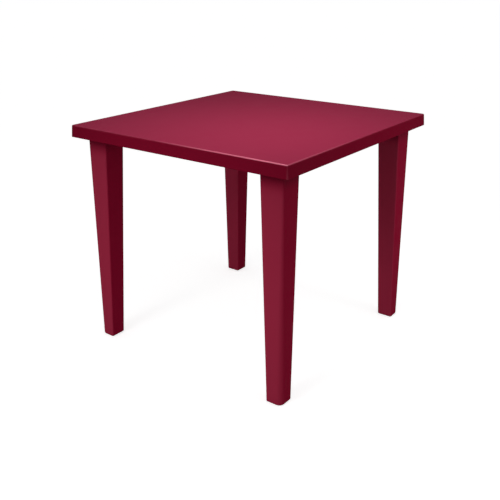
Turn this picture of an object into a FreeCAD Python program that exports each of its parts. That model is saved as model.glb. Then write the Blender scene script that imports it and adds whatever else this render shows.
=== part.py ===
import FreeCAD, Part
import math
import os

import Sketcher

# Square dining table, moulded in polypropylene and sent out knocked down. The top is one tray-shaped
# moulding with ribs, leg sleeves and spigots under it. Each hollow leg slides into a sleeve and over a
# spigot, a screw holds it there, and a rubber pad is bonded into its foot.
# The frame: +Z up, the origin on the floor under the middle of the table. The corner in +X and +Y is
# the rear right one; the other three are quarter turns of it.

document = FreeCAD.newDocument("square_dining_table")
sheet = document.addObject("Spreadsheet::Sheet", "sizes")

# Driving dimensions in millimetres, counts where the name says so
DRIVING = (
    ("table_width", 800, "across the skirt at its lower rim, the same both ways"),
    ("table_height", 720, "floor to the top face"),
    ("skirt_depth", 36.5, "top face to the skirt's lower rim"),
    ("skirt_flare", 2.5, "how far each side leans out from the top face to the rim"),
    ("skirt_wall", 3.5, "thickness of the skirt"),
    ("plate_thickness", 4.0, "thickness of the flat top"),
    ("plan_corner_radius", 6.0, "table corner seen from above, at the rim"),
    ("top_edge_radius", 3.5, "rounding between the top face and the skirt"),
    ("leg_width", 75.0, "leg across the flats, at its shoulder under the sleeve"),
    ("leg_inset", 37.0, "rim's outside to the leg's outer face, at the shoulder"),
    ("leg_wall", 3.5, "wall of the hollow leg at the foot"),
    ("leg_corner_radius", 8.0, "rounding of the leg's upright edges"),
    ("neck_wall", 3.0, "wall of the leg's neck inside the sleeve"),
    ("foot_width", 52.0, "leg across the flats, at the foot"),
    ("foot_inset", 28.5, "rim's outside to the leg's outer face, at the foot"),
    ("foot_floor", 6.0, "closed end of the leg"),
    ("foot_edge_bevel", 2.5, "bevel round the bottom of the foot"),
    ("leg_clearance", 0.3, "gap round the neck in its sleeve, and round the spigot in the leg"),
    ("sleeve_wall", 2.5, "wall of the sleeve that holds the leg"),
    ("sleeve_step", 1.5, "how far the sleeve ends above the skirt's rim"),
    ("spigot_wall", 3.0, "wall of the hollow spigot inside the leg"),
    ("spigot_length", 70.0, "spigot, from under the plate to its lower end"),
    ("rib_thickness", 2.4, "every rib under the plate"),
    ("rib_depth", 15.0, "lattice ribs, measured down from under the plate"),
    ("main_rib_step", 6.5, "how far the four main ribs, between the sleeves, end above the skirt's rim"),
    ("rib_bays", 8, "count of lattice bays between two legs"),
    ("screw_diameter", 5.0, "shank of the self-tapping screw"),
    ("screw_length", 16.0, "shank, under the head to the tip"),
    ("screw_tip", 4.0, "tapered end of the shank"),
    ("screw_head_diameter", 9.5, "its flat-topped round head"),
    ("screw_head_height", 3.2, "the same head"),
    ("screw_clearance", 0.2, "gap round the shank"),
    ("screw_rise", 8.0, "screw axis above the leg's shoulder"),
    ("screw_offset", 14.0, "screw axis outward of the leg's centre line"),
    ("boss_width", 12.0, "thick pad behind the spigot's wall that the screw bites in"),
    ("boss_thickness", 8.0, "the same pad, inward from the spigot's wall"),
    ("pad_diameter", 28.0, "rubber foot pad"),
    ("pad_thickness", 4.0, "the same disc"),
    ("pad_proud", 1.2, "how far the pad stands out of the foot"),
    ("pad_clearance", 0.2, "gap round the pad in its recess"),
    ("cut_overrun", 2.0, "how far a cut runs past the face it opens"),
)

for row, (alias, value, meaning) in enumerate(DRIVING, start=1):
    sheet.set("A%d" % row, meaning)
    sheet.set("B%d" % row, str(value))
    sheet.setAlias("B%d" % row, alias)
document.recompute()

# Heights and places that several pieces share, as formulas on the sheet
RIM = "(sizes.table_height - sizes.skirt_depth)"
SHOULDER = "(%s + sizes.sleeve_step)" % RIM
UNDER_PLATE = "(sizes.table_height - sizes.plate_thickness)"
FOOT_SOLE = "sizes.pad_proud"
FOOT_FLOOR_TOP = "(sizes.pad_proud + sizes.foot_floor)"
TOP_WIDTH = "(sizes.table_width - 2 * sizes.skirt_flare)"
LEG_CENTRE = "(sizes.table_width / 2 - sizes.leg_inset - sizes.leg_width / 2)"
FOOT_CENTRE = "(sizes.table_width / 2 - sizes.foot_inset - sizes.foot_width / 2)"
SHAFT_LENGTH = "(%s - %s)" % (SHOULDER, FOOT_SOLE)
OUTER_LEAN = "(sizes.leg_inset - sizes.foot_inset)"
INNER_LEAN = "(%s + sizes.leg_width - sizes.foot_width)" % OUTER_LEAN
SLEEVE_DEPTH = "(%s - %s)" % (UNDER_PLATE, SHOULDER)
MAIN_RIB_DEPTH = "(%s - %s - sizes.main_rib_step)" % (UNDER_PLATE, RIM)
BORE_WIDTH = "(sizes.leg_width - 2 * sizes.sleeve_wall)"
BORE_CORNER = "(sizes.leg_corner_radius - sizes.sleeve_wall)"
NECK_WIDTH = "(%s - 2 * sizes.leg_clearance)" % BORE_WIDTH
NECK_CORNER = "(%s - sizes.leg_clearance)" % BORE_CORNER
HOLLOW_WIDTH = "(%s - 2 * sizes.neck_wall)" % NECK_WIDTH
SPIGOT_END = "(%s - sizes.spigot_length)" % UNDER_PLATE
SCREW_LEVEL = "(%s + sizes.screw_rise)" % SHOULDER
SCREW_LINE = "(%s + sizes.screw_offset)" % LEG_CENTRE
SCREW_SEAT = "(%s - sizes.leg_width / 2)" % LEG_CENTRE


def number(formula):
    """The value of a formula on the sheet."""
    return float(sheet.evalExpression(formula))


def between(at_top, at_bottom, top, bottom, level):
    """A size that changes evenly from one level down to another, read at a level between them."""
    return "(%s + (%s - %s) * (%s - %s) / (%s - %s))" % (at_top, at_bottom, at_top, top, level, top, bottom)


def leg_centre_at(level):
    return between(LEG_CENTRE, FOOT_CENTRE, SHOULDER, FOOT_SOLE, level)


FLOOR_WIDTH = "(%s - 2 * sizes.leg_wall)" % between(
    "sizes.leg_width", "sizes.foot_width", SHOULDER, FOOT_SOLE, FOOT_FLOOR_TOP
)


def hollow_width_at(level):
    """Inside of the leg, which narrows from the neck to the closed foot so that its core draws out."""
    return between(HOLLOW_WIDTH, FLOOR_WIDTH, SHOULDER, FOOT_FLOOR_TOP, level)


def skirt_width_at(level):
    """Outside of the skirt, both ways, at a level between its rim and the top face."""
    return "(%s + 2 * sizes.skirt_flare * (sizes.table_height - %s) / sizes.skirt_depth)" % (TOP_WIDTH, level)


# Sketches on a body's own planes


def origin_feature(body, role):
    return next(feature for feature in body.Origin.OriginFeatures if feature.Role == role)


def new_sketch(body, name, plane, offset):
    """A sketch on one of the body's planes, its own origin moved by three formulas."""
    sketch = body.newObject("Sketcher::SketchObject", name)
    sketch.AttachmentSupport = [(origin_feature(body, plane), "")]
    sketch.MapMode = "FlatFace"
    for axis, formula in zip("xyz", offset):
        sketch.setExpression("AttachmentOffset.Base." + axis, formula)
    return sketch


def drive(sketch, constraint, name, formula):
    """A dimension that follows a formula."""
    index = sketch.addConstraint(constraint)
    sketch.renameConstraint(index, name)
    sketch.setExpression("Constraints." + name, formula)


def add_loop(sketch, points):
    """A closed outline of straight edges; returns the numbers of its edges."""
    edges = []
    for start, end in zip(points, points[1:] + points[:1]):
        edges.append(sketch.addGeometry(Part.LineSegment(FreeCAD.Vector(*start), FreeCAD.Vector(*end))))
    for edge, following in zip(edges, edges[1:] + edges[:1]):
        sketch.addConstraint(Sketcher.Constraint("Coincident", edge, 2, following, 1))
    return edges


def square(body, name, centre, level, width):
    """A plain square, its middle at equal distances along X and Y."""
    return rectangle(body, name, (centre, centre, level), width, width)


def rectangle(body, name, offset, width, height):
    """A rectangle centred on a level place, in the XY plane."""
    sketch = new_sketch(body, name, "XY_Plane", offset)
    x = number(width) / 2
    y = number(height) / 2
    bottom, right, top, left = add_loop(sketch, [(-x, -y, 0), (x, -y, 0), (x, y, 0), (-x, y, 0)])
    for edge in (bottom, top):
        sketch.addConstraint(Sketcher.Constraint("Horizontal", edge))
    for edge in (right, left):
        sketch.addConstraint(Sketcher.Constraint("Vertical", edge))
    sketch.addConstraint(Sketcher.Constraint("Symmetric", bottom, 1, top, 1, -1, 1))
    drive(sketch, Sketcher.Constraint("DistanceX", bottom, 1, bottom, 2, 2 * x), "width", width)
    drive(sketch, Sketcher.Constraint("DistanceY", right, 1, right, 2, 2 * y), "height", height)
    return sketch


def rounded_square(body, name, centre, level, width, radius):
    """A square with rounded corners, its middle at equal distances along X and Y."""
    sketch = new_sketch(body, name, "XY_Plane", (centre, centre, level))
    side = number(width) / 2
    corner = number(radius)
    reach = side - corner
    quarter = math.pi / 2
    lines = []
    arcs = []
    for turn in range(4):
        heading = turn * quarter
        along = FreeCAD.Vector(math.cos(heading), math.sin(heading), 0)
        outward = FreeCAD.Vector(math.sin(heading), -math.cos(heading), 0)
        start = outward * side - along * reach
        end = outward * side + along * reach
        lines.append(sketch.addGeometry(Part.LineSegment(start, end)))
        middle = outward * reach + along * reach
        circle = Part.Circle(middle, FreeCAD.Vector(0, 0, 1), corner)
        arcs.append(sketch.addGeometry(Part.ArcOfCircle(circle, heading - quarter, heading)))
    for turn in range(4):
        sketch.addConstraint(Sketcher.Constraint("Tangent", lines[turn], 2, arcs[turn], 1))
        sketch.addConstraint(Sketcher.Constraint("Tangent", arcs[turn], 2, lines[(turn + 1) % 4], 1))
        kind = "Vertical" if turn % 2 else "Horizontal"
        sketch.addConstraint(Sketcher.Constraint(kind, lines[turn]))
    for arc in arcs[1:]:
        sketch.addConstraint(Sketcher.Constraint("Equal", arcs[0], arc))
    sketch.addConstraint(Sketcher.Constraint("Symmetric", arcs[1], 3, arcs[3], 3, -1, 1))
    reach_formula = "%s / 2 - %s" % (width, radius)
    drive(sketch, Sketcher.Constraint("Radius", arcs[0], corner), "corner_radius", radius)
    drive(sketch, Sketcher.Constraint("DistanceX", -1, 1, arcs[1], 3, reach), "reach_x", reach_formula)
    drive(sketch, Sketcher.Constraint("DistanceY", -1, 1, arcs[1], 3, reach), "reach_y", reach_formula)
    return sketch


def circle(body, name, plane, offset, diameter):
    sketch = new_sketch(body, name, plane, offset)
    radius = number(diameter) / 2
    ring = sketch.addGeometry(Part.Circle(FreeCAD.Vector(0, 0, 0), FreeCAD.Vector(0, 0, 1), radius))
    sketch.addConstraint(Sketcher.Constraint("Coincident", ring, 3, -1, 1))
    drive(sketch, Sketcher.Constraint("Diameter", ring, 2 * radius), "diameter", diameter)
    return sketch


# Features


def loft(body, kind, name, first, second):
    feature = body.newObject("PartDesign::" + kind, name)
    feature.Profile = first
    feature.Sections = [second]
    feature.Ruled = True
    return feature


def extrude(body, kind, name, sketch, length, reverse):
    feature = body.newObject("PartDesign::" + kind, name)
    feature.Profile = sketch
    feature.setExpression("Length", length)
    feature.Reversed = reverse
    return feature


def revolve(body, name, sketch, axis):
    feature = body.newObject("PartDesign::Revolution", name)
    feature.Profile = sketch
    feature.ReferenceAxis = (sketch, [axis])
    return feature


def quarter_turns(body, name, features):
    """The same features in all four corners."""
    pattern = body.newObject("PartDesign::PolarPattern", name)
    pattern.Originals = features
    pattern.Axis = (origin_feature(body, "Z_Axis"), [""])
    pattern.Angle = 360
    pattern.Occurrences = 4
    body.Tip = pattern
    return pattern


def heights(shape):
    """The lowest and highest corner of a solid, face or edge."""
    levels = [vertex.Z for vertex in shape.Vertexes]
    return min(levels), max(levels)


def upright(item, solid):
    """A face or edge that runs over more than half of the solid's height."""
    low, high = heights(item)
    bottom, top = heights(solid)
    return high - low > (top - bottom) / 2


def at_top(item, solid):
    return math.isclose(heights(item)[0], heights(solid)[1])


def at_bottom(item, solid):
    return math.isclose(heights(item)[1], heights(solid)[0])


def away_from_middle(item, solid):
    """An upright face on the side of a leg that looks away from the middle of the table."""
    return upright(item, solid) and sum(item.CenterOfMass) > sum(solid.CenterOfMass)


def towards_middle(item, solid):
    return upright(item, solid) and not away_from_middle(item, solid)


def chosen(items, kind, which, solid):
    return ["%s%d" % (kind, index) for index, item in enumerate(items, start=1) if which(item, solid)]


def round_edges(body, name, which, radius):
    """Rounds the chosen edges of what the body is so far."""
    document.recompute()
    feature = body.Tip
    fillet = body.newObject("PartDesign::Fillet", name)
    fillet.Base = (feature, chosen(feature.Shape.Edges, "Edge", which, feature.Shape))
    fillet.setExpression("Radius", radius)


def bevel_edges(body, name, which, size):
    """Bevels the chosen edges of what the body is so far."""
    document.recompute()
    feature = body.Tip
    bevel = body.newObject("PartDesign::Chamfer", name)
    bevel.Base = (feature, chosen(feature.Shape.Edges, "Edge", which, feature.Shape))
    bevel.setExpression("Size", size)


def lean_faces(body, name, which, level, run, rise, inward):
    """Leans the chosen faces by run over rise, about the level face that keeps its size."""
    document.recompute()
    feature = body.Tip
    solid = feature.Shape
    lean = body.newObject("PartDesign::Draft", name)
    lean.Base = (feature, chosen(solid.Faces, "Face", which, solid))
    lean.NeutralPlane = (feature, chosen(solid.Faces, "Face", level, solid))
    lean.setExpression("Angle", "atan(%s / %s)" % (run, rise))
    lean.Reversed = inward


def screw_hole(body, name):
    """A level hole for the leg's screw, from the leg's centre line towards the table's middle."""
    place = (SCREW_LINE, SCREW_LEVEL, LEG_CENTRE)
    diameter = "sizes.screw_diameter + 2 * sizes.screw_clearance"
    outline = circle(body, name + "_outline", "YZ_Plane", place, diameter)
    return extrude(body, "Pocket", name, outline, "sizes.leg_width / 2 + sizes.cut_overrun", False)


# Table top: plate and skirt in one drafted tray, hollow underneath


def make_table_top():
    body = document.addObject("PartDesign::Body", "table_top")
    rim_outline = square(body, "rim_outline", "0", RIM, "sizes.table_width")
    extrude(body, "Pad", "tray_outside", rim_outline, "sizes.skirt_depth", False)
    lean_faces(body, "skirt_lean", upright, at_bottom, "sizes.skirt_flare", "sizes.skirt_depth", False)
    round_edges(body, "plan_corners", upright, "sizes.plan_corner_radius")
    round_edges(body, "top_edge", at_top, "sizes.top_edge_radius")

    corner = "(sizes.plan_corner_radius - sizes.skirt_wall)"
    mouth_width = "(sizes.table_width - 2 * sizes.skirt_wall)"
    ceiling_width = "(%s - 2 * sizes.skirt_wall)" % skirt_width_at(UNDER_PLATE)
    mouth = rounded_square(body, "tray_mouth", "0", RIM, mouth_width, corner)
    ceiling = rounded_square(body, "tray_ceiling", "0", UNDER_PLATE, ceiling_width, corner)
    loft(body, "SubtractiveLoft", "tray_inside", mouth, ceiling)

    add_ribs(body)
    add_leg_seats(body)
    return body


def rib_length(depth):
    """From skirt to skirt, ending inside the drafted wall at the rib's lower edge."""
    wall_inside = "%s - 2 * sizes.skirt_wall" % skirt_width_at("(%s - %s)" % (UNDER_PLATE, depth))
    return "(%s + sizes.skirt_wall / 2)" % wall_inside


def add_ribs(body):
    """A square lattice of thin ribs, and four deeper ones through the middles of the leg sleeves."""
    thickness = "sizes.rib_thickness"
    pitch = "(2 * %s / sizes.rib_bays)" % LEG_CENTRE
    first_place = "(%s - %s)" % (pitch, LEG_CENTRE)
    length = rib_length("sizes.rib_depth")
    for axis, offset, size in (
        ("X_Axis", (first_place, "0", UNDER_PLATE), (thickness, length)),
        ("Y_Axis", ("0", first_place, UNDER_PLATE), (length, thickness)),
    ):
        outline = rectangle(body, "rib_outline_" + axis[0].lower(), offset, *size)
        rib = extrude(body, "Pad", "rib_" + axis[0].lower(), outline, "sizes.rib_depth", True)
        ribs = body.newObject("PartDesign::LinearPattern", "ribs_" + axis[0].lower())
        ribs.Originals = [rib]
        ribs.Direction = (origin_feature(body, axis), [""])
        ribs.setExpression("Length", "%s * (sizes.rib_bays - 2)" % pitch)
        ribs.setExpression("Occurrences", "sizes.rib_bays - 1")
        body.Tip = ribs

    main_length = rib_length(MAIN_RIB_DEPTH)
    outline = rectangle(body, "main_rib_outline", (LEG_CENTRE, "0", UNDER_PLATE), thickness, main_length)
    main_rib = extrude(body, "Pad", "main_rib", outline, MAIN_RIB_DEPTH, True)
    quarter_turns(body, "main_ribs", [main_rib])


def add_leg_seats(body):
    """A sleeve round each leg and a tapering hollow spigot up inside it, with a pad for the screw."""
    sleeve_corner = "sizes.leg_corner_radius"
    sleeve_outline = rounded_square(
        body, "sleeve_outline", LEG_CENTRE, UNDER_PLATE, "sizes.leg_width", sleeve_corner
    )
    sleeve = extrude(body, "Pad", "sleeve", sleeve_outline, SLEEVE_DEPTH, True)
    bore_outline = rounded_square(body, "sleeve_bore_outline", LEG_CENTRE, SHOULDER, BORE_WIDTH, BORE_CORNER)
    bore = extrude(body, "Pocket", "sleeve_bore", bore_outline, SLEEVE_DEPTH, True)

    def spigot_section(name, level, skin):
        """The leg's hollow at a level, less the clearance and a skin; straight inside the neck."""
        reach = "2 * sizes.leg_clearance + 2 * %s" % skin
        width = "(%s - (%s))" % (hollow_width_at(level), reach)
        return square(body, name, leg_centre_at(level), level, width)

    def spigot_root(name, skin):
        """The straight part's section, drawn where it leaves the plate."""
        outline = spigot_section(name, SHOULDER, skin)
        outline.setExpression("AttachmentOffset.Base.z", UNDER_PLATE)
        return outline

    solid = "0"
    wall = "sizes.spigot_wall"
    spigot = extrude(body, "Pad", "spigot", spigot_root("spigot_root", solid), SLEEVE_DEPTH, True)
    upper = spigot_section("spigot_upper", SHOULDER, solid)
    lower = spigot_section("spigot_lower", SPIGOT_END, solid)
    taper = loft(body, "AdditiveLoft", "spigot_taper", upper, lower)
    hollow = extrude(body, "Pocket", "spigot_hollow", spigot_root("hollow_root", wall), SLEEVE_DEPTH, False)
    upper = spigot_section("hollow_upper", SHOULDER, wall)
    lower = spigot_section("hollow_lower", SPIGOT_END, wall)
    hollow_taper = loft(body, "SubtractiveLoft", "spigot_hollow_taper", upper, lower)

    spigot_face = "(%s - %s / 2 + sizes.leg_clearance)" % (LEG_CENTRE, HOLLOW_WIDTH)
    boss_reach = "(sizes.spigot_wall + sizes.boss_thickness)"
    boss_place = ("(%s + %s / 2)" % (spigot_face, boss_reach), SCREW_LINE, UNDER_PLATE)
    boss_outline = rectangle(body, "boss_outline", boss_place, boss_reach, "sizes.boss_width")
    boss = extrude(body, "Pad", "boss", boss_outline, SLEEVE_DEPTH, True)
    hole = screw_hole(body, "seat_hole")
    quarter_turns(body, "leg_seats", [sleeve, bore, spigot, taper, hollow, hollow_taper, boss, hole])


# Leg: a tapered box with a closed foot, and a straight neck that fills the sleeve


def make_leg(name, turns):
    body = document.addObject("PartDesign::Body", name)
    shoulder = square(body, "shoulder_outline", LEG_CENTRE, SHOULDER, "sizes.leg_width")
    extrude(body, "Pad", "shaft", shoulder, SHAFT_LENGTH, True)
    lean_faces(body, "outer_lean", away_from_middle, at_top, OUTER_LEAN, SHAFT_LENGTH, False)
    lean_faces(body, "inner_lean", towards_middle, at_top, INNER_LEAN, SHAFT_LENGTH, True)
    round_edges(body, "upright_edges", upright, "sizes.leg_corner_radius")
    bevel_edges(body, "foot_edge", at_bottom, "sizes.foot_edge_bevel")
    neck_outline = rounded_square(body, "neck_outline", LEG_CENTRE, SHOULDER, NECK_WIDTH, NECK_CORNER)
    extrude(body, "Pad", "neck", neck_outline, SLEEVE_DEPTH, False)

    floor_centre = leg_centre_at(FOOT_FLOOR_TOP)
    floor = square(body, "hollow_floor", floor_centre, FOOT_FLOOR_TOP, FLOOR_WIDTH)
    upper = square(body, "hollow_shoulder", LEG_CENTRE, SHOULDER, HOLLOW_WIDTH)
    loft(body, "SubtractiveLoft", "hollow", floor, upper)
    throat = square(body, "hollow_neck_outline", LEG_CENTRE, SHOULDER, HOLLOW_WIDTH)
    extrude(body, "Pocket", "hollow_neck", throat, SLEEVE_DEPTH, True)

    place = (FOOT_CENTRE, FOOT_CENTRE, FOOT_SOLE)
    recess_diameter = "sizes.pad_diameter + 2 * sizes.pad_clearance"
    recess = circle(body, "pad_recess_outline", "XY_Plane", place, recess_diameter)
    extrude(body, "Pocket", "pad_recess", recess, "sizes.pad_thickness - sizes.pad_proud", True)
    screw_hole(body, "neck_hole")
    turn_to_corner(body, turns)
    return body


def turn_to_corner(part, turns):
    part.Placement = FreeCAD.Placement(FreeCAD.Vector(0, 0, 0), FreeCAD.Rotation(FreeCAD.Vector(0, 0, 1), 90 * turns))


# Rubber foot pad: a disc let into the sole, bonded to the roof of its recess and standing a little proud


def make_foot_pad(name, turns):
    body = document.addObject("PartDesign::Body", name)
    sole = circle(body, "sole_outline", "XY_Plane", (FOOT_CENTRE, FOOT_CENTRE, "0"), "sizes.pad_diameter")
    extrude(body, "Pad", "disc", sole, "sizes.pad_thickness", False)
    turn_to_corner(body, turns)
    return body


# Leg screws: self-tapping screws, driven level through the sleeve and the neck into the spigot's pad


def half_profile(sketch, outline):
    """A closed outline to revolve, through points given by formulas."""
    points = [(number(x), number(y), 0) for x, y in outline]
    for index, (edge, (x, y)) in enumerate(zip(add_loop(sketch, points), outline)):
        pin(sketch, edge, index, x, y)


def pin(sketch, edge, index, x, y):
    """Ties the start of an edge to its two formulas; a zero is a point on an axis."""
    if x == "0" and y == "0":
        sketch.addConstraint(Sketcher.Constraint("Coincident", edge, 1, -1, 1))
        return
    if x == "0":
        sketch.addConstraint(Sketcher.Constraint("PointOnObject", edge, 1, -2))
    else:
        constraint = Sketcher.Constraint("DistanceX", -1, 1, edge, 1, number(x))
        drive(sketch, constraint, "x%d" % index, x)
    if y == "0":
        sketch.addConstraint(Sketcher.Constraint("PointOnObject", edge, 1, -1))
    else:
        constraint = Sketcher.Constraint("DistanceY", -1, 1, edge, 1, number(y))
        drive(sketch, constraint, "y%d" % index, y)


def make_screw(name, turns):
    body = document.addObject("PartDesign::Body", name)
    sketch = new_sketch(body, "screw_profile", "XZ_Plane", (SCREW_SEAT, SCREW_LEVEL, "-" + SCREW_LINE))
    head = "sizes.screw_head_diameter / 2"
    crown = "-sizes.screw_head_height"
    shank = "sizes.screw_diameter / 2"
    tip = "(sizes.screw_length - sizes.screw_tip)"
    outline = (
        (crown, "0"),
        (crown, head),
        ("0", head),
        ("0", shank),
        (tip, shank),
        ("sizes.screw_length", "0"),
    )
    half_profile(sketch, outline)
    revolve(body, "screw", sketch, "H_Axis")
    turn_to_corner(body, turns)
    return body


# The four corners, as quarter turns from the rear right one
CORNERS = ("rear_right", "rear_left", "front_left", "front_right")

parts = [make_table_top()]
screws = []
for turns, corner in enumerate(CORNERS):
    parts.append(make_leg(corner + "_leg", turns))
    parts.append(make_foot_pad(corner + "_foot_pad", turns))
    screws.append(make_screw(corner + "_screw", turns))
leg_screws = document.addObject("Part::Compound", "leg_screws")
leg_screws.Links = screws
parts.append(leg_screws)
document.recompute()

# Nothing is written unless every feature and every piece is sound
for item in document.Objects:
    if "Invalid" in item.State or "Error" in item.State:
        raise RuntimeError("feature failed: " + item.Label)
for part in parts:
    if part.Shape.isNull() or not part.Shape.isValid():
        raise RuntimeError("piece is not sound: " + part.Label)

os.makedirs("parts", exist_ok=True)
for part in parts:
    part.Shape.exportStep("parts/%s.step" % part.Label)
    print(part.Label, len(part.Shape.Solids), "solids", round(part.Shape.Volume), "mm3")
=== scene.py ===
import math

import bmesh
import bpy
from mathutils import Matrix, Vector


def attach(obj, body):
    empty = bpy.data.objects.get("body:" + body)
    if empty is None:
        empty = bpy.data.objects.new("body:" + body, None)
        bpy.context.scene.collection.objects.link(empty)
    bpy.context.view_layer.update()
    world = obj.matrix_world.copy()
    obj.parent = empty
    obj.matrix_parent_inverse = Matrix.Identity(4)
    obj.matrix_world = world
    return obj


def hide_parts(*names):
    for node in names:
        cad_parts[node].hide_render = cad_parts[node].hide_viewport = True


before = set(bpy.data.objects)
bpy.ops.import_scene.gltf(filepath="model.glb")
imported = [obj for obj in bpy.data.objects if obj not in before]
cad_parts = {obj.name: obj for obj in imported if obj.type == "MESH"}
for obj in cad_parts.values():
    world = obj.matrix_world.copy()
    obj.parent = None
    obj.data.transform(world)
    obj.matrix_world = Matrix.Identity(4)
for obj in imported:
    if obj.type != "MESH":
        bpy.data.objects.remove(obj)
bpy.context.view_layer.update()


# 1. Table top: one injection moulding of burgundy polypropylene. A flat 4 mm plate has a skirt round it
# that leans out a little, so that it leaves the tool. Under the plate are stiffening ribs, and at each
# corner a sleeve and a spigot, between which the neck of a leg is pushed.
MM = 0.001


def colour(hex_code):
    """A colour written as sRGB hex, turned to the linear values that a shader takes."""
    parts = [int(hex_code[i:i + 2], 16) / 255 for i in (1, 3, 5)]
    return [p / 12.92 if p <= 0.04045 else ((p + 0.055) / 1.055) ** 2.4 for p in parts] + [1.0]


def add_node(tree, kind, sockets=None, **settings):
    """Adds a node with its settings; a socket takes a value or the output of another node."""
    node = tree.nodes.new(kind)
    for name, value in settings.items():
        setattr(node, name, value)
    for name, value in (sockets or {}).items():
        if isinstance(value, bpy.types.NodeSocket):
            tree.links.new(value, node.inputs[name])
        else:
            node.inputs[name].default_value = value
    return node


def new_material(name):
    """An empty material with its surface output, and the place on the object that patterns read."""
    material = bpy.data.materials.new(name)
    material.use_nodes = True
    tree = material.node_tree
    tree.nodes.clear()
    output = add_node(tree, "ShaderNodeOutputMaterial")
    place = add_node(tree, "ShaderNodeTexCoord").outputs["Object"]
    return material, tree, output, place


def waves_per_metre(size_mm):
    """The scale of a noise pattern whose grains are about this far apart."""
    return 1000 / size_mm


# Moulded polypropylene, coloured in the melt, from a tool of spark-eroded steel. The pigment is even to
# within a few percent, in clouds that follow the flow of the melt. The grain scatters most of the gloss,
# so that all the sheen left is a thin coat, a little brighter where hands go. The real grain is 0.2 mm:
# it is drawn at 1.2 mm, the finest that shows.
melt_clouds_mm = 180
drawn_grain_mm = 1.2
grain_depth = 0.12 * MM
hand_marks_mm = 60
polypropylene_ior = 1.49


def moulded_polypropylene(name, shades, sheen):
    """The plastic, with what a piece may add to: tree, place, pigment, sheen and shader."""
    material, tree, output, place = new_material(name)
    clouds = add_node(tree, "ShaderNodeTexNoise", {
        "Vector": place, "Scale": waves_per_metre(melt_clouds_mm), "Detail": 3.0, "Roughness": 0.5})
    pigment = add_node(tree, "ShaderNodeMix", {
        "Factor": clouds.outputs["Fac"], 6: colour(shades[0]), 7: colour(shades[1])}, data_type="RGBA")
    grain = add_node(tree, "ShaderNodeTexNoise", {
        "Vector": place, "Scale": waves_per_metre(drawn_grain_mm), "Detail": 2.0, "Roughness": 0.6})
    tooth = add_node(tree, "ShaderNodeBump", {
        "Height": grain.outputs["Fac"], "Strength": 0.16, "Distance": grain_depth})
    hands = add_node(tree, "ShaderNodeTexNoise", {
        "Vector": place, "Scale": waves_per_metre(hand_marks_mm), "Detail": 3.0, "Roughness": 0.6})
    satin = add_node(tree, "ShaderNodeMapRange", {
        "Value": hands.outputs["Fac"], "From Min": 0.3, "From Max": 0.7,
        "To Min": sheen[0], "To Max": sheen[1]})
    shader = add_node(tree, "ShaderNodeBsdfPrincipled", {
        "Base Color": pigment.outputs[2], "Roughness": 0.4,
        "IOR": polypropylene_ior, "Specular IOR Level": 0.0,
        "Coat Weight": satin.outputs["Result"], "Coat Roughness": 0.34, "Coat IOR": polypropylene_ior,
        "Normal": tooth.outputs["Normal"], "Coat Normal": tooth.outputs["Normal"]})
    tree.links.new(shader.outputs["BSDF"], output.inputs["Surface"])
    return material, tree, place, pigment.outputs[2], satin.outputs["Result"], shader


# The flat of the top is painted a paler, dustier red, as painted light from above. Its upper edge is
# painted pale, most of all at the front corner, as a painted highlight; there hands have also rubbed it
# smooth, so its coat is glossier. Each pair is where that starts and where it is full: outwards from the
# middle of the table, upwards from the floor, out along an upright corner, and away from the corner where
# it is strongest.
edge_highlight_outwards = (393 * MM, 394.5 * MM)
edge_highlight_upwards = (717 * MM, 718.5 * MM)
edge_highlight_at_upright = (394.5 * MM, 397.5 * MM)
highlight_corner = (370 * MM, -400 * MM, 720 * MM)
highlight_away = (60 * MM, 420 * MM)
side_share = 0.26
upright_share = 0.15
far_share = 0.08
edge_coat_gloss = 0.5

top_plastic, tree, place, pigment, satin, shader = moulded_polypropylene(
    "moulded burgundy polypropylene", ("#880A29", "#8C0B2B"), (0.018, 0.028))
surface = add_node(tree, "ShaderNodeNewGeometry")
lit_top = add_node(tree, "ShaderNodeVectorMath", {
    0: surface.outputs["Normal"], 1: (0, 0, 1)}, operation="DOT_PRODUCT")
# Faces that look up are mixed towards a paler, dustier red: painted light from above.
painted_lit_face = add_node(tree, "ShaderNodeMix", {
    "Factor": lit_top.outputs["Value"], 6: pigment, 7: colour("#952B46")}, data_type="RGBA")
axes = add_node(tree, "ShaderNodeSeparateXYZ", {0: place})
along = add_node(tree, "ShaderNodeMath", {0: axes.outputs["X"]}, operation="ABSOLUTE")
across = add_node(tree, "ShaderNodeMath", {0: axes.outputs["Y"]}, operation="ABSOLUTE")
outward = add_node(tree, "ShaderNodeMath", {
    0: along.outputs[0], 1: across.outputs[0]}, operation="MAXIMUM")
cornerward = add_node(tree, "ShaderNodeMath", {
    0: along.outputs[0], 1: across.outputs[0]}, operation="MINIMUM")
frontward = add_node(tree, "ShaderNodeMath", {0: axes.outputs["Y"], 1: -1.0}, operation="MULTIPLY")
all_round = add_node(tree, "ShaderNodeMapRange", {
    "Value": outward.outputs[0], "From Min": edge_highlight_outwards[0], "From Max": edge_highlight_outwards[1],
    "To Max": side_share})
at_front = add_node(tree, "ShaderNodeMapRange", {
    "Value": frontward.outputs[0], "From Min": edge_highlight_outwards[0], "From Max": edge_highlight_outwards[1]})
at_side = add_node(tree, "ShaderNodeMath", {
    0: all_round.outputs["Result"], 1: at_front.outputs["Result"]}, operation="MAXIMUM")
at_top = add_node(tree, "ShaderNodeMapRange", {
    "Value": axes.outputs["Z"], "From Min": edge_highlight_upwards[0], "From Max": edge_highlight_upwards[1]},
    interpolation_type="SMOOTHSTEP")
upper_edge = add_node(tree, "ShaderNodeMath", {
    0: at_side.outputs[0], 1: at_top.outputs["Result"]}, operation="MULTIPLY")
upright_edge = add_node(tree, "ShaderNodeMapRange", {
    "Value": cornerward.outputs[0], "From Min": edge_highlight_at_upright[0], "From Max": edge_highlight_at_upright[1],
    "To Max": upright_share})
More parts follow.
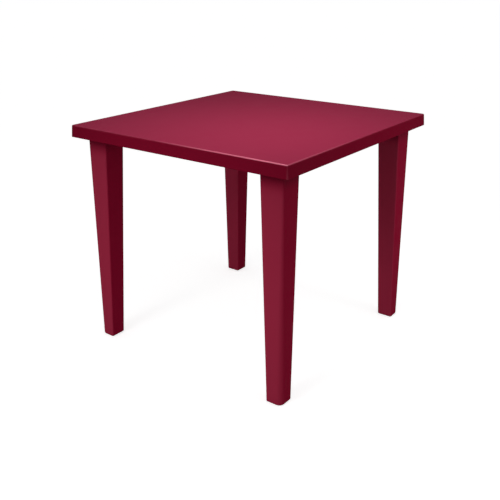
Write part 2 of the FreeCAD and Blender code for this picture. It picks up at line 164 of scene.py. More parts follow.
edges = add_node(tree, "ShaderNodeMath", {
    0: upper_edge.outputs[0], 1: upright_edge.outputs["Result"]}, operation="MAXIMUM")
distance = add_node(tree, "ShaderNodeVectorMath", {0: place, 1: highlight_corner}, operation="DISTANCE")
highlight_falloff = add_node(tree, "ShaderNodeMapRange", {
    "Value": distance.outputs["Value"], "From Min": highlight_away[0], "From Max": highlight_away[1],
    "To Min": 1.0, "To Max": far_share})
highlight_and_gloss = add_node(tree, "ShaderNodeMath", {
    0: edges.outputs[0], 1: highlight_falloff.outputs["Result"]}, operation="MULTIPLY")
# The upper edge is mixed towards pale pink: a painted highlight, strongest at the front corner. The same
# mask makes the coat glossier there.
painted_edge_highlight = add_node(tree, "ShaderNodeMix", {
    "Factor": highlight_and_gloss.outputs[0], 6: painted_lit_face.outputs[2], 7: colour("#DC6C86")}, data_type="RGBA")
shine = add_node(tree, "ShaderNodeMapRange", {
    "Value": highlight_and_gloss.outputs[0], "To Min": satin, "To Max": edge_coat_gloss})
tree.links.new(painted_edge_highlight.outputs[2], shader.inputs["Base Color"])
tree.links.new(shine.outputs["Result"], shader.inputs["Coat Weight"])

table_width = 800 * MM
table_height = 720 * MM
skirt_depth = 36.5 * MM
skirt_flare = 2.5 * MM
skirt_wall = 3.5 * MM
plate_thickness = 4 * MM
plan_corner = 6 * MM
least_corner = 0.3 * MM
top_edge = 3.5 * MM
rim_edge = 0.8 * MM
ceiling_edge = 1.5 * MM

rim_level = table_height - skirt_depth
under_plate = table_height - plate_thickness
skirt_angle = math.atan2(skirt_flare, skirt_depth)

# Beside each rounding is a close row of points, so that the flat next to it shades flat. Parts of the
# moulding that grow out of one another lap a little.
support = 0.5 * MM
lap = 1 * MM


def arc(centre, radius, start, end, steps):
    """Points of an arc in the plane of distance and height; angles in radians from outward to up."""
    angles = [start + (end - start) * i / steps for i in range(steps + 1)]
    return [(centre[0] + radius * math.cos(a), centre[1] + radius * math.sin(a)) for a in angles]


def square_ring(half, corner, level, middle=(0, 0), steps=8, first_corner=None):
    """A level ring: a square with rounded corners, the first of which may have its own rounding."""
    points = []
    for turn in range(4):
        rounding = first_corner if turn == 0 and first_corner is not None else corner
        rounding = min(rounding, half)
        side = half - rounding
        close = min(support, side / 2)
        bend = [(half, side - close)]
        bend += arc((side, side), rounding, 0, math.pi / 2, steps)
        bend.append((side - close, half))
        c = math.cos(turn * math.pi / 2)
        s = math.sin(turn * math.pi / 2)
        for x, y in bend:
            points.append(Vector((middle[0] + x * c - y * s, middle[1] + x * s + y * c, level)))
    return points


def skin_rings(mesh, rings, closed=False):
    """Joins each ring to the next with faces; the ends are filled, or joined to each other."""
    rows = [[mesh.verts.new(p) for p in ring] for ring in rings]
    pairs = list(zip(rows, rows[1:]))
    if closed:
        pairs.append((rows[-1], rows[0]))
    else:
        mesh.faces.new(rows[0])
        mesh.faces.new(rows[-1])
    for lower, upper in pairs:
        for i in range(len(lower)):
            j = (i + 1) % len(lower)
            mesh.faces.new((lower[i], lower[j], upper[j], upper[i]))


weld_distance = 0.002 * MM
sharp_angle = math.radians(35)


def finish_mesh(mesh, name):
    """Closes seams, turns the faces outwards and shades the rounded edges smooth."""
    bmesh.ops.remove_doubles(mesh, verts=mesh.verts, dist=weld_distance)
    bmesh.ops.dissolve_degenerate(mesh, edges=mesh.edges, dist=weld_distance)
    bmesh.ops.recalc_face_normals(mesh, faces=mesh.faces)
    data = bpy.data.meshes.new(name)
    mesh.to_mesh(data)
    mesh.free()
    data.shade_smooth()
    data.set_sharp_from_angle(angle=sharp_angle)
    return data


def new_piece(name, data, material):
    """A piece at the origin, with its place in its mesh and its one material."""
    piece = bpy.data.objects.new(name, data)
    data.materials.clear()
    data.materials.append(material)
    bpy.context.scene.collection.objects.link(piece)
    return piece


def skirt_outside(level):
    """Half the width across the skirt at a level."""
    return table_width / 2 - skirt_flare * (level - rim_level) / skirt_depth


def against_skirt(level, radius, inset=0):
    """How far out the middle of a rounding lies that touches the skirt's outside, or a wall inside it."""
    return skirt_outside(level) - inset - radius / math.cos(skirt_angle)


# The section of the tray, from the flat of the top round the skirt to the underside of the plate.
edge_level = table_height - top_edge
lip_level = rim_level + rim_edge
fillet_level = under_plate - ceiling_edge
edge_middle = against_skirt(edge_level, top_edge)
inner_rim = skirt_outside(lip_level) - skirt_wall + rim_edge / math.cos(skirt_angle)
top_profile = [(edge_middle - support, table_height)]
top_profile += arc((edge_middle, edge_level), top_edge, math.pi / 2, skirt_angle, 8)
for level in (table_height - 2 * top_edge, rim_level + 2 * rim_edge):
    top_profile.append((skirt_outside(level), level))
top_profile += arc((against_skirt(lip_level, rim_edge), lip_level), rim_edge, skirt_angle, -math.pi / 2, 5)
top_profile += arc((inner_rim, lip_level), rim_edge, -math.pi / 2, skirt_angle - math.pi, 5)
for level in (rim_level + 2 * rim_edge, fillet_level - support):
    top_profile.append((skirt_outside(level) - skirt_wall, level))
top_profile += arc((against_skirt(fillet_level, ceiling_edge, skirt_wall), fillet_level),
                   ceiling_edge, skirt_angle, math.pi / 2, 5)
top_profile.append((top_profile[-1][0] - support, under_plate))

moulding = bmesh.new()
skin_rings(moulding, [
    square_ring(half, max(plan_corner - (skirt_outside(level) - half), least_corner), level)
    for half, level in top_profile])

leg_width = 75 * MM
leg_inset = 37 * MM
leg_corner = 4 * MM
foot_width = 52 * MM
foot_corner = 18 * MM
foot_inset = 28.5 * MM
sole_level = 1.2 * MM
sleeve_wall = 2.5 * MM
sleeve_edge = 0.6 * MM
sleeve_step = 1.5 * MM
shoulder = rim_level + sleeve_step
leg_half = leg_width / 2
leg_middle = table_width / 2 - leg_inset - leg_half
foot_middle = table_width / 2 - foot_inset - foot_width / 2
CORNERS = ("rear_right", "rear_left", "front_left", "front_right")


def leg_middle_at(level):
    """The leg's middle line leans outwards on its way down."""
    return leg_middle + (foot_middle - leg_middle) * (shoulder - level) / (shoulder - sole_level)


def turned(rings, turns):
    """The same rings at another corner of the table."""
    turn = Matrix.Rotation(math.radians(90 * turns), 3, "Z")
    return [[turn @ p for p in ring] for ring in rings]


# The sleeve stands round the neck of the leg, with a fillet at the plate and a rounded lip.
sleeve_inside = leg_half - sleeve_wall
sleeve_profile = [(leg_half + ceiling_edge, under_plate + support)]
sleeve_profile += arc((leg_half + ceiling_edge, fillet_level), ceiling_edge, math.pi / 2, math.pi, 5)
sleeve_profile += [(leg_half, fillet_level - support), (leg_half, shoulder + sleeve_edge + support)]
sleeve_profile += arc((leg_half - sleeve_edge, shoulder + sleeve_edge), sleeve_edge, 0, -math.pi / 2, 4)
sleeve_profile += [(sleeve_inside, shoulder), (sleeve_inside, under_plate + support)]
straight = (leg_middle, leg_middle)
sleeve = [square_ring(half, leg_corner + half - leg_half, level, straight)
          for half, level in sleeve_profile]

# The hollow spigot reaches 70 mm down inside the leg and tapers with it. A boss in it takes the screw.
spigot_end = under_plate - 70 * MM
spigot_half = 31.4 * MM
spigot_end_half = 30.9 * MM
spigot_wall = 3 * MM
spigot_corner = 2 * MM
spigot_bevel = 1 * MM
hollow_corner = 0.5 * MM
leaning = (leg_middle_at(spigot_end), leg_middle_at(spigot_end))
spigot = [square_ring(half, corner, level, middle, 3) for half, corner, level, middle in (
    (spigot_half, spigot_corner, under_plate + support, straight),
    (spigot_half, spigot_corner, shoulder, straight),
    (spigot_end_half, spigot_corner, spigot_end + spigot_bevel, leaning),
    (spigot_end_half - spigot_bevel, spigot_corner - spigot_bevel, spigot_end, leaning),
    (spigot_end_half - spigot_wall, hollow_corner, spigot_end, leaning),
    (spigot_half - spigot_wall, hollow_corner, under_plate + support, straight))]
screw_line = leg_middle + 14 * MM
boss_half = 6 * MM
boss_depth = 8 * MM
boss_face = leg_middle - spigot_half + lap
boss_back = leg_middle - spigot_half + spigot_wall + boss_depth
boss_plan = ((boss_face, -boss_half), (boss_back, -boss_half),
             (boss_back, boss_half), (boss_face, boss_half))
boss = [[Vector((x, screw_line + y, level)) for x, y in boss_plan]
        for level in (shoulder, under_plate + support)]
for turns in range(4):
    skin_rings(moulding, turned(sleeve, turns), closed=True)
    skin_rings(moulding, turned(spigot, turns), closed=True)
    skin_rings(moulding, turned(boss, turns))


# The ribs are 2.4 mm at the root and drafted to a rounded lower edge: a square lattice, and four deeper
# ribs that tie the leg sleeves together.
rib_thickness = 2.4 * MM
rib_depth = 15 * MM
rib_fillet = 1 * MM
rib_rounding = 0.7 * MM
rib_draft = math.radians(0.7)
main_rib_rise = 6.5 * MM
main_rib_depth = under_plate - rim_level - main_rib_rise
rib_bays = 8
rib_pitch = 2 * leg_middle / rib_bays
rib_reach = skirt_outside(under_plate) - skirt_wall + lap


def add_rib(mesh, depth, start, end, across):
    """One straight rib along X: its drafted section, rounded below and filleted at the root."""
    root = rib_thickness / 2
    tip = root - depth * math.tan(rib_draft)
    section = [(root + rib_fillet, under_plate + support)]
    section += arc((root + rib_fillet, under_plate - rib_fillet), rib_fillet, math.pi / 2, math.pi, 4)
    section += arc((tip - rib_rounding, under_plate - depth + rib_rounding),
                   rib_rounding, 0, -math.pi / 2, 4)
    section += [(-y, z) for y, z in reversed(section)]
    skin_rings(mesh, [[Vector((x, across + y, z)) for y, z in section] for x in (start, end)])


def node_group(name, inputs):
    """A geometry tree with the given named inputs; returns it with the nodes at its two ends."""
    group = bpy.data.node_groups.new(name, "GeometryNodeTree")
    group.interface.new_socket("Geometry", in_out="OUTPUT", socket_type="NodeSocketGeometry")
    group.interface.new_socket("Geometry", in_out="INPUT", socket_type="NodeSocketGeometry")
    for label, kind in inputs:
        group.interface.new_socket(label, in_out="INPUT", socket_type=kind)
    return group, add_node(group, "NodeGroupInput"), add_node(group, "NodeGroupOutput")


def close_group(group, placed, finish, result):
    """Ends a geometry tree: the copies become one real mesh in their finish."""
    real = add_node(group, "GeometryNodeRealizeInstances", {"Geometry": placed})
    coated = add_node(group, "GeometryNodeSetMaterial", {"Geometry": real.outputs[0], "Material": finish})
    group.links.new(coated.outputs[0], result.inputs[0])


def grow(data, group, values):
    """Runs a geometry tree on a mesh and returns the result as a plain mesh."""
    source = bpy.data.objects.new(data.name, data)
    bpy.context.scene.collection.objects.link(source)
    modifier = source.modifiers.new(group.name, "NODES")
    modifier.node_group = group
    for item in group.interface.items_tree:
        if item.in_out == "INPUT" and item.name in values:
            modifier[item.identifier] = values[item.name]
    ready = source.evaluated_get(bpy.context.evaluated_depsgraph_get())
    result = bpy.data.meshes.new_from_object(ready)
    bpy.data.objects.remove(source)
    return result


lattice, given, result = node_group("rib lattice", [
    ("Pitch", "NodeSocketFloat"), ("Bays", "NodeSocketInt"), ("Plastic", "NodeSocketMaterial")])
count = add_node(lattice, "ShaderNodeMath", {0: given.outputs["Bays"], 1: 1.0}, operation="SUBTRACT")
half_span = add_node(lattice, "ShaderNodeMath", {0: given.outputs["Bays"], 1: -0.5}, operation="MULTIPLY")
first = add_node(lattice, "ShaderNodeMath", {0: half_span.outputs[0], 1: 1.0}, operation="ADD")
first_place = add_node(lattice, "ShaderNodeMath", {
    0: first.outputs[0], 1: given.outputs["Pitch"]}, operation="MULTIPLY")
start = add_node(lattice, "ShaderNodeCombineXYZ", {"Y": first_place.outputs[0]})
step = add_node(lattice, "ShaderNodeCombineXYZ", {"Y": given.outputs["Pitch"]})
places = add_node(lattice, "GeometryNodeMeshLine", {
    "Count": count.outputs[0], "Start Location": start.outputs[0], "Offset": step.outputs[0]})
along_x = add_node(lattice, "GeometryNodeInstanceOnPoints", {
    "Points": places.outputs[0], "Instance": given.outputs["Geometry"]})
along_y = add_node(lattice, "GeometryNodeTransform", {
    "Geometry": along_x.outputs[0], "Rotation": (0, 0, math.pi / 2)})
crossed = add_node(lattice, "GeometryNodeJoinGeometry")
lattice.links.new(along_x.outputs[0], crossed.inputs[0])
lattice.links.new(along_y.outputs[0], crossed.inputs[0])
close_group(lattice, crossed.outputs[0], given.outputs["Plastic"], result)

one_rib = bmesh.new()
add_rib(one_rib, rib_depth, -rib_reach, rib_reach, 0)
moulding.from_mesh(grow(finish_mesh(one_rib, "lattice rib"), lattice, {
    "Pitch": rib_pitch, "Bays": rib_bays, "Plastic": top_plastic}))

four_sides, given, result = node_group("four sides", [
    ("Sides", "NodeSocketInt"), ("Plastic", "NodeSocketMaterial")])
spots = add_node(four_sides, "GeometryNodeMeshLine", {
    "Count": given.outputs["Sides"], "Offset": (0, 0, 0)})
index = add_node(four_sides, "GeometryNodeInputIndex")
angle = add_node(four_sides, "ShaderNodeMath", {0: index.outputs[0], 1: math.pi / 2}, operation="MULTIPLY")
turn = add_node(four_sides, "ShaderNodeCombineXYZ", {"Z": angle.outputs[0]})
sides = add_node(four_sides, "GeometryNodeInstanceOnPoints", {
    "Points": spots.outputs[0], "Instance": given.outputs["Geometry"], "Rotation": turn.outputs[0]})
close_group(four_sides, sides.outputs[0], given.outputs["Plastic"], result)

main_ribs = bmesh.new()
near_side = leg_middle - leg_half + lap
far_side = leg_middle + leg_half - lap
for start, end in ((-near_side, near_side), (far_side, rib_reach), (-rib_reach, -far_side)):
    add_rib(main_ribs, main_rib_depth, start, end, leg_middle)
moulding.from_mesh(grow(finish_mesh(main_ribs, "main ribs"), four_sides, {
    "Sides": 4, "Plastic": top_plastic}))

# The pins that push the moulding out of its tool bear on round pads at the rib crossings, and leave a
# shallow dimple. The melt came in at the middle, where a wider pad carries the trimmed stub of the sprue.
pin_pads, given, result = node_group("ejector pads", [
    ("Reach", "NodeSocketFloat"), ("Rows", "NodeSocketInt"), ("Plastic", "NodeSocketMaterial")])
crossings = add_node(pin_pads, "GeometryNodeMeshGrid", {
    "Size X": given.outputs["Reach"], "Size Y": given.outputs["Reach"],
    "Vertices X": given.outputs["Rows"], "Vertices Y": given.outputs["Rows"]})
pads = add_node(pin_pads, "GeometryNodeInstanceOnPoints", {
    "Points": crossings.outputs["Mesh"], "Instance": given.outputs["Geometry"]})
close_group(pin_pads, pads.outputs[0], given.outputs["Plastic"], result)


def round_pad(profile):
    """A round pad under the plate, from its radius at each level in millimetres above the ribs' edge."""
    root = (profile[0][0], (rib_depth + support) / MM)
    rings = [square_ring(radius * MM, radius * MM, under_plate - rib_depth + rise * MM, (0, 0), 6)
             for radius, rise in [root] + profile]
    mesh = bmesh.new()
    skin_rings(mesh, rings)
    return mesh


pin_rows = 4
bays_between_pins = 2
pin_pad = round_pad([(4.5, 8), (4.2, 0.4), (3.8, 0), (2.6, 0), (2.5, 0.25)])
moulding.from_mesh(grow(finish_mesh(pin_pad, "ejector pad"), pin_pads, {
    "Reach": (pin_rows - 1) * bays_between_pins * rib_pitch, "Rows": pin_rows, "Plastic": top_plastic}))
sprue_pad = round_pad([(8, 8), (7.6, 0.5), (7.1, 0), (2.6, 0), (2.3, -1.6), (1.9, -1.9)])
moulding.from_mesh(finish_mesh(sprue_pad, "sprue pad"))

table_top = new_piece("table_top_moulding", finish_mesh(moulding, "table top moulding"), top_plastic)
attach(table_top, "root")
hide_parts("table_top")


# 2. Legs: four hollow tapered boxes with a closed foot, moulded in the same plastic. The neck slides up
# between sleeve and spigot until the shoulder meets the sleeve's lip. The sole has a round recess for
# the foot pad.
foot_edge = 5 * MM
shoulder_edge = 0.6 * MM
leg_wall = 3.5 * MM
neck_wall = 3 * MM
neck_bevel = 0.7 * MM
neck_bevel_height = 1 * MM
leg_clearance = 0.3 * MM
foot_floor = 6 * MM
hollow_rounding = 2 * MM
sole_corner = 1 * MM
pad_radius = 14 * MM
pad_thickness = 4 * MM
recess_roof = pad_thickness
recess_radius = pad_radius + 0.2 * MM
recess_bevel = 0.3 * MM

# The faces that look to the front are painted a paler, dustier red, as painted light from the front, up to
# the shade of the skirt. There the first colour is left, under a band of painted shade just below the
# skirt. Each pair is where that begins and where it is full, up from the floor.
shade_of_skirt = (615 * MM, 684 * MM)
painted_shade_under_skirt = (632 * MM, 672 * MM)
painted_shade_share = 0.42

# The legs' pigment is a shade lighter than the top's: painted light, standing in for the more light the
# legs take than the skirt.
leg_plastic, tree, place, pigment, _, shader = moulded_polypropylene(
    "moulded burgundy polypropylene of the legs", ("#990C31", "#9D0D33"), (0.04, 0.055))
surface = add_node(tree, "ShaderNodeNewGeometry")
lit_side = add_node(tree, "ShaderNodeVectorMath", {
    0: surface.outputs["Normal"], 1: (0, -1, 0)}, operation="DOT_PRODUCT")
axes = add_node(tree, "ShaderNodeSeparateXYZ", {0: place})
unshaded = add_node(tree, "ShaderNodeMapRange", {
    "Value": axes.outputs["Z"], "From Min": shade_of_skirt[0], "From Max": shade_of_skirt[1],
    "To Min": 1.0, "To Max": 0.0}, interpolation_type="SMOOTHSTEP")
lit_face_share = add_node(tree, "ShaderNodeMath", {
    0: lit_side.outputs["Value"], 1: unshaded.outputs["Result"]}, operation="MULTIPLY")
# Faces that look to the front are mixed towards a paler, dustier red: painted light from the front.
painted_lit_face = add_node(tree, "ShaderNodeMix", {
    "Factor": lit_face_share.outputs[0], 6: pigment, 7: colour("#AF2E4A")}, data_type="RGBA")
# A band just below the skirt is mixed towards dark red: painted shade.
painted_shade_mask = add_node(tree, "ShaderNodeMapRange", {
    "Value": axes.outputs["Z"], "From Min": painted_shade_under_skirt[0], "From Max": painted_shade_under_skirt[1],
    "To Max": painted_shade_share}, interpolation_type="SMOOTHSTEP")
painted_skirt_shade = add_node(tree, "ShaderNodeMix", {
    "Factor": painted_shade_mask.outputs["Result"], 6: painted_lit_face.outputs[2], 7: colour("#4E041A")}, data_type="RGBA")
tree.links.new(painted_skirt_shade.outputs[2], shader.inputs["Base Color"])


def shaft_half(level):
    """Half the leg's width across the flats."""
    return (leg_width + (foot_width - leg_width) * (shoulder - level) / (shoulder - sole_level)) / 2


def leg_ring(half, corner, level, inset=0.0):
    """A ring round the leg, whose outermost upright edge grows rounder towards the foot."""
    middle = leg_middle_at(level)
    share = (shoulder - level) / (shoulder - sole_level)
    outermost = leg_corner + (foot_corner - leg_corner) * share - inset
    return square_ring(half, corner, level, (middle, middle), 8, max(outermost, corner))


# The rings of a leg run from the recess over the sole, up the shaft and the neck, and down inside.
foot_half = shaft_half(sole_level + foot_edge)
leg_rings = [
    leg_ring(recess_radius, recess_radius, recess_roof),
    leg_ring(recess_radius, recess_radius, sole_level + recess_bevel),
    leg_ring(recess_radius + recess_bevel, recess_radius, sole_level),
    leg_ring(foot_half - foot_edge - support, sole_corner, sole_level, foot_edge),
]
for run, rise in arc((0, 0), foot_edge, -math.pi / 2, 0, 8):
    inset = foot_edge - run
    leg_rings.append(leg_ring(
        foot_half - inset, max(leg_corner - inset, sole_corner), sole_level + foot_edge + rise, inset))
for level in (sole_level + foot_edge + support, shoulder - shoulder_edge - support):
    leg_rings.append(leg_ring(shaft_half(level), leg_corner, level))
for run, rise in arc((0, 0), shoulder_edge, 0, math.pi / 2, 4):
    inset = shoulder_edge - run
    leg_rings.append(leg_ring(
        shaft_half(shoulder) - inset, leg_corner - inset, shoulder - shoulder_edge + rise))
neck_half = leg_half - sleeve_wall - leg_clearance
neck_corner = leg_corner - sleeve_wall - leg_clearance
for inset, level in (
        (0, shoulder), (0, under_plate - neck_bevel_height), (neck_bevel, under_plate),
        (neck_wall, under_plate), (neck_wall, shoulder)):
    leg_rings.append(square_ring(neck_half - inset, neck_corner - inset, level, straight))
floor_level = sole_level + foot_floor
floor_half = shaft_half(floor_level) - leg_wall
leg_rings.append(leg_ring(floor_half, hollow_rounding, floor_level + hollow_rounding, leg_wall))
leg_rings.append(leg_ring(floor_half - hollow_rounding, hollow_rounding, floor_level, leg_wall))

for turns, corner in enumerate(CORNERS):
    shell = bmesh.new()
    skin_rings(shell, turned(leg_rings, turns))
    leg = new_piece(corner + "_leg_moulding", finish_mesh(shell, corner + " leg moulding"), leg_plastic)
    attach(leg, "root")
    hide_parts(corner + "_leg")


# 3. Foot pads: black rubber discs, 28 mm across, bonded into the soles, with a rounded edge and three
# turned grooves so that the table doesn't slide. They stand 1.2 mm proud of the feet.
pad_edge = 0.8 * MM
pad_bevel = 0.3 * MM
pad_centre = 0.5 * MM
groove_radii = (4 * MM, 7.5 * MM, 11 * MM)
groove_mouth = 0.6 * MM
groove_floor = 0.3 * MM
groove_depth = 0.5 * MM

# Moulded rubber is nearly matt, with a grey bloom in spots a few millimetres apart.
bloom_spots_mm = 3
rubber_ior = 1.52
rubber, tree, output, place = new_material("black foot rubber")
bloom = add_node(tree, "ShaderNodeTexNoise", {
    "Vector": place, "Scale": waves_per_metre(bloom_spots_mm), "Detail": 5.0})
dust = add_node(tree, "ShaderNodeMix", {
    "Factor": bloom.outputs["Fac"], 6: colour("#1B1A1B"), 7: colour("#2B292A")}, data_type="RGBA")
skin = add_node(tree, "ShaderNodeBump", {
    "Height": bloom.outputs["Fac"], "Strength": 0.3, "Distance": 0.1 * MM})
shader = add_node(tree, "ShaderNodeBsdfPrincipled", {
    "Base Color": dust.outputs[2], "Roughness": 0.75, "IOR": rubber_ior, "Normal": skin.outputs["Normal"]})
tree.links.new(shader.outputs["BSDF"], output.inputs["Surface"])

pad_profile = [(pad_centre, 0)]
for radius in groove_radii:
    pad_profile += [(radius - groove_mouth, 0), (radius - groove_floor, groove_depth),
                    (radius + groove_floor, groove_depth), (radius + groove_mouth, 0)]
pad_profile += arc((pad_radius - pad_edge, pad_edge), pad_edge, -math.pi / 2, 0, 5)
pad_profile += [(pad_radius, pad_thickness - pad_bevel), (pad_radius - pad_bevel, pad_thickness)]
pad_rings = [square_ring(radius, radius, level, (foot_middle, foot_middle), 12)
             for radius, level in pad_profile]
for turns, corner in enumerate(CORNERS):
    disc = bmesh.new()
    skin_rings(disc, turned(pad_rings, turns))
    pad = new_piece(corner + "_rubber_foot_pad", finish_mesh(disc, corner + " foot pad"), rubber)
    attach(pad, "root")
    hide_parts(corner + "_foot_pad")


# 4. Leg screws: four self-tapping screws of zinc-plated steel, 5 x 16 mm, with a pan head and a cross
# recess. Each is driven level from the inside of the table through the sleeve and the leg's neck into
# the boss in the spigot.
head_height = 3.2 * MM
core_radius = 1.9 * MM
point_radius = 0.1 * MM
thread_height = 0.6 * MM
thread_pitch = 1.8 * MM
screw_length = 16 * MM
tip_length = 4 * MM
facets = 24
stations = 56

# Bright zinc that the plating bath leaves a little cloudy, in patches of a millimetre or two.
plating_patches_mm = 1.5
zinc, tree, output, place = new_material("zinc-plated steel")
plating = add_node(tree, "ShaderNodeTexNoise", {
    "Vector": place, "Scale": waves_per_metre(plating_patches_mm), "Detail": 3.0})
cloudy = add_node(tree, "ShaderNodeMapRange", {
    "Value": plating.outputs["Fac"], "To Min": 0.24, "To Max": 0.42})
shader = add_node(tree, "ShaderNodeBsdfPrincipled", {
    "Base Color": colour("#C4C3BC"), "Metallic": 1.0, "Roughness": cloudy.outputs["Result"]})
tree.links.new(shader.outputs["BSDF"], output.inputs["Surface"])


def screw_ring(radius, along, depth=0.0):
    """A ring round the screw's axis, pushed out where the thread winds past over half of its pitch."""
    ring = []
    for i in range(facets):
        share = i / facets
        phase = (along / thread_pitch - share) % 1
        reach = radius + depth * max(0, 1 - abs(phase - 0.5) * 4)
        angle = share * 2 * math.pi
        ring.append(Vector((along, reach * math.cos(angle), reach * math.sin(angle))))
    return ring


# The head from its crown to its seat: shares of its height, with the radius in millimetres there.
head = [(1, 3.0), (0.96, 3.6), (0.82, 4.2), (0.6, 4.6), (0.35, 4.75), (0.03125, 4.75), (0, 4.6)]
screw_rings = [screw_ring(radius * MM, -head_height * share) for share, radius in head]
for i in range(stations + 1):
    along = screw_length * i / stations
    taper = min(1.0, (screw_length - along) / tip_length)
    screw_rings.append(screw_ring(
        max(core_radius * taper, point_radius), along, thread_height * min(1.0, 2 * taper)))
one_screw = bmesh.new()
skin_rings(one_screw, screw_rings)

# The cross recess is cut by two crossed wedges: half sizes at the crown, which shrink towards the floor.
recess_depth = 2.0 * MM
arm_length = 2.4 * MM
arm_width = 0.55 * MM
share_at_mouth = 1.1
share_at_floor = 0.6
mouth_level = -head_height - 1 * MM
wedge_corners = ((-1, -1), (1, -1), (1, 1), (-1, 1))
cutter = bmesh.new()
for half_y, half_z in ((arm_width, arm_length), (arm_length, arm_width)):
    skin_rings(cutter, [
        [Vector((along, y * half_y * share, z * half_z * share)) for y, z in wedge_corners]
        for along, share in ((mouth_level, share_at_mouth), (-head_height + recess_depth, share_at_floor))])
cross = bpy.data.objects.new("cross recess", finish_mesh(cutter, "cross recess"))
bpy.context.scene.collection.objects.link(cross)

fixing, given, result = node_group("leg screws", [
    ("Screws", "NodeSocketInt"), ("Seat", "NodeSocketFloat"), ("Line", "NodeSocketFloat"),
    ("Level", "NodeSocketFloat"), ("Seed", "NodeSocketInt"), ("Recess", "NodeSocketObject"),
    ("Plating", "NodeSocketMaterial")])
cutter_info = add_node(fixing, "GeometryNodeObjectInfo", {"Object": given.outputs["Recess"]})
driven = add_node(fixing, "GeometryNodeMeshBoolean", {
    "Mesh 1": given.outputs["Geometry"], "Mesh 2": cutter_info.outputs["Geometry"]}, operation="DIFFERENCE")
index = add_node(fixing, "GeometryNodeInputIndex")
spot = add_node(fixing, "ShaderNodeCombineXYZ", {
    "X": given.outputs["Seat"], "Y": given.outputs["Line"], "Z": given.outputs["Level"]})
heading = add_node(fixing, "ShaderNodeMath", {0: index.outputs[0], 1: math.pi / 2}, operation="MULTIPLY")
cornered = add_node(fixing, "ShaderNodeVectorRotate", {
    "Vector": spot.outputs[0], "Angle": heading.outputs[0]}, rotation_type="Z_AXIS")
tightened = add_node(fixing, "FunctionNodeRandomValue", {
    2: 0.0, 3: math.pi / 2, "ID": index.outputs[0], "Seed": given.outputs["Seed"]})
pose = add_node(fixing, "ShaderNodeCombineXYZ", {"X": tightened.outputs[1], "Z": heading.outputs[0]})
spots = add_node(fixing, "GeometryNodePoints", {
    "Count": given.outputs["Screws"], "Position": cornered.outputs[0]})
placed = add_node(fixing, "GeometryNodeInstanceOnPoints", {
    "Points": spots.outputs[0], "Instance": driven.outputs["Mesh"], "Rotation": pose.outputs[0]})
close_group(fixing, placed.outputs[0], given.outputs["Plating"], result)

screw_rise = 8 * MM
screw_set = grow(finish_mesh(one_screw, "leg screw"), fixing, {
    "Screws": 4, "Seat": leg_middle - leg_half, "Line": screw_line, "Level": shoulder + screw_rise,
    "Seed": 4, "Recess": cross, "Plating": zinc})
bpy.data.objects.remove(cross)
screws = new_piece("leg_fixing_screws", screw_set, zinc)
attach(screws, "root")
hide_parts("leg_screws")


# 5. Studio: a sweep of white paper under the table, a softbox overhead, two in front, a small one on the
# right, and soft light from the room. The background is white where it is looked at, and the floor keeps
# the table's shadow.
def looked_at(tree):
    """One for the rays that see the background: straight, in a shiny surface or through a clear one."""
    seen = add_node(tree, "ShaderNodeLightPath")
    shiny = add_node(tree, "ShaderNodeMath", {
        0: seen.outputs["Is Camera Ray"], 1: seen.outputs["Is Glossy Ray"]}, operation="MAXIMUM")
    clear = add_node(tree, "ShaderNodeMath", {
        0: shiny.outputs[0], 1: seen.outputs["Is Transmission Ray"]}, operation="MAXIMUM")
    return clear.outputs[0]


# Matt white paper. It is lifted to white where it is looked at, and from below it is left out, so that
# the underside can be seen.
floor_lift = 0.77
floor_reach = 40.0
sweep, tree, output, _ = new_material("white paper floor")
paper = add_node(tree, "ShaderNodeBsdfDiffuse", {"Color": colour("#A8A8A8")})
shaded = add_node(tree, "ShaderNodeBsdfDiffuse", {"Color": colour("#D8D8D8")})
lift = add_node(tree, "ShaderNodeEmission", {"Color": colour("#FFFFFF"), "Strength": floor_lift})
lifted = add_node(tree, "ShaderNodeAddShader", {0: shaded.outputs[0], 1: lift.outputs[0]})
both = add_node(tree, "ShaderNodeMixShader", {
    0: looked_at(tree), 1: paper.outputs[0], 2: lifted.outputs[0]})
side = add_node(tree, "ShaderNodeNewGeometry")
nothing = add_node(tree, "ShaderNodeBsdfTransparent", {"Color": colour("#FFFFFF")})
one_sided = add_node(tree, "ShaderNodeMixShader", {
    0: side.outputs["Backfacing"], 1: both.outputs[0], 2: nothing.outputs[0]})
tree.links.new(one_sided.outputs[0], output.inputs["Surface"])

ground = bmesh.new()
ground.faces.new([ground.verts.new((x * floor_reach, y * floor_reach, 0))
                  for x, y in ((-1, -1), (1, -1), (1, 1), (-1, 1))])
ground_data = bpy.data.meshes.new("floor")
ground.to_mesh(ground_data)
ground.free()
floor = new_piece("floor", ground_data, sweep)

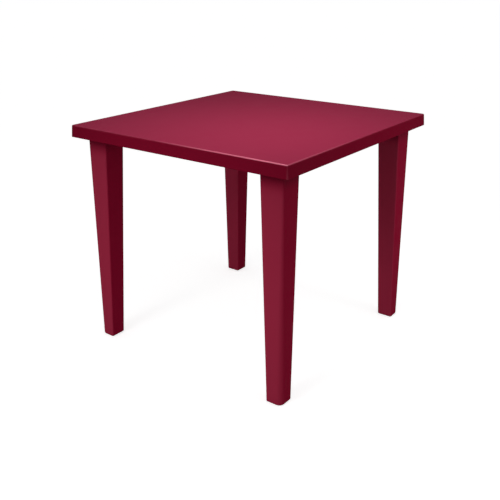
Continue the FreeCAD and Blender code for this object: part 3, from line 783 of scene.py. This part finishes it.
room_light = 0.34
world = bpy.data.worlds.new("studio")
bpy.context.scene.world = world
world.use_nodes = True
tree = world.node_tree
tree.nodes.clear()
room = add_node(tree, "ShaderNodeBackground", {"Color": colour("#FFFFFF"), "Strength": room_light})
white = add_node(tree, "ShaderNodeBackground", {"Color": colour("#FFFFFF"), "Strength": 1.0})
mixed = add_node(tree, "ShaderNodeMixShader", {
    0: looked_at(tree), 1: room.outputs[0], 2: white.outputs[0]})
add_node(tree, "ShaderNodeOutputWorld", {"Surface": mixed.outputs[0]})

# Each softbox has its width and place in metres, the point it is turned to, its power in watts and the
# angle in degrees that its grid lets out.
for name, width, place, aim, power, spread in (
        ("overhead softbox", 0.5, (0.21, -0.16, 1.65), (0.15, -0.12, 0.72), 3.7, 130),
        ("front softbox", 0.7, (-0.2, -2.2, 1.6), (0.05, -0.3, 0.15), 0.8, 45),
        ("low softbox", 0.6, (0.2, -2.4, 0.3), (-0.1, 0.2, 0.4), 0.45, 50),
        ("side softbox", 0.25, (1.5, 0.34, 0.52), (0.36, 0.25, 0.45), 1.2, 120)):
    light = bpy.data.lights.new(name, "AREA")
    light.spread = math.radians(spread)
    light.shape = "SQUARE"
    light.size = width
    light.energy = power
    lamp = bpy.data.objects.new(name, light)
    lamp.location = place
    lamp.rotation_euler = (Vector(aim) - Vector(place)).to_track_quat("-Z", "Y").to_euler()
    bpy.context.scene.collection.objects.link(lamp)

# The camera stands 2.5 m away, to the right of the front, and looks down on the table.
film_width_mm = 36
picture_width_px = 500
focal_length_px = 701.6
camera_data = bpy.data.cameras.new("camera")
camera_data.sensor_width = film_width_mm
camera_data.lens = film_width_mm * focal_length_px / picture_width_px
camera = bpy.data.objects.new("camera", camera_data)
azimuth = math.radians(37.0)
elevation = math.radians(21.99)
roll = math.radians(-0.19)
right = Vector((math.cos(azimuth), math.sin(azimuth), 0))
back = Vector((math.sin(azimuth), -math.cos(azimuth), 0)) * math.cos(elevation)
back.z = math.sin(elevation)
up = back.cross(right)
level_right = right * math.cos(roll) + up * math.sin(roll)
level_up = up * math.cos(roll) - right * math.sin(roll)
stand = Matrix((level_right, level_up, back)).transposed().to_4x4()
stand.translation = Vector((1.3156, -1.7674, 1.1651))
camera.matrix_world = stand
bpy.context.scene.collection.objects.link(camera)
bpy.context.scene.camera = camera
bpy.context.scene.view_settings.view_transform = "Standard"
